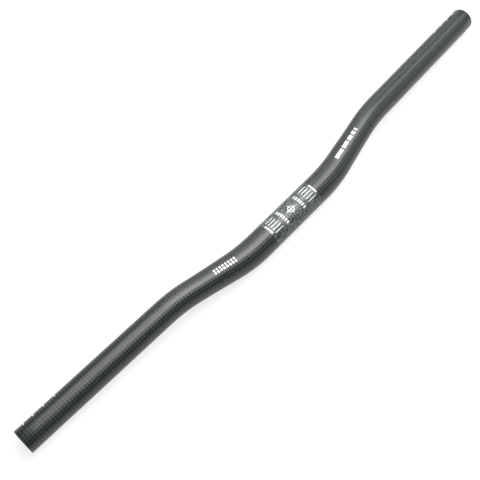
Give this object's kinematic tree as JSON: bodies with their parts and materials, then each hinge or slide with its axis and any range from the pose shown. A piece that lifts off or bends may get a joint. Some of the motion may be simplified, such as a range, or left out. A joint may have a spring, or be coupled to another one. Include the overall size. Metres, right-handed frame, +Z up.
{
  "type": "bicycle handlebar",
  "caption": "Low-rise bicycle handlebar: a hollow woven carbon tube, thickest at the stem clamp, bent up and swept back to slimmer straight grips with open ends.",
  "frame": {"origin": "middle of the stem clamp zone, on the tube's axis, 12.7 mm above the surface that the bar lies on", "axes": "+X along the clamp axis towards the rider's left grip, +Z up from the surface that the bar lies on, +Y level, from the clamp line towards the line of the two tips. Fitted to a bicycle the bar is turned about X until the direction (0, 0.882, 0.472) of this frame points up and (0, 0.472, -0.882) points to the rear."},
  "size_m": [0.5816, 0.0448, 0.0303],
  "materials": {
    "carbon": "satin clear coat over fine plain-weave carbon cloth, with a gritty clamp zone",
    "print": "thin satin white printed marks"
  },
  "bodies": {
    "root": {"handlebar": "carbon"}
  },
  "joints": []
}
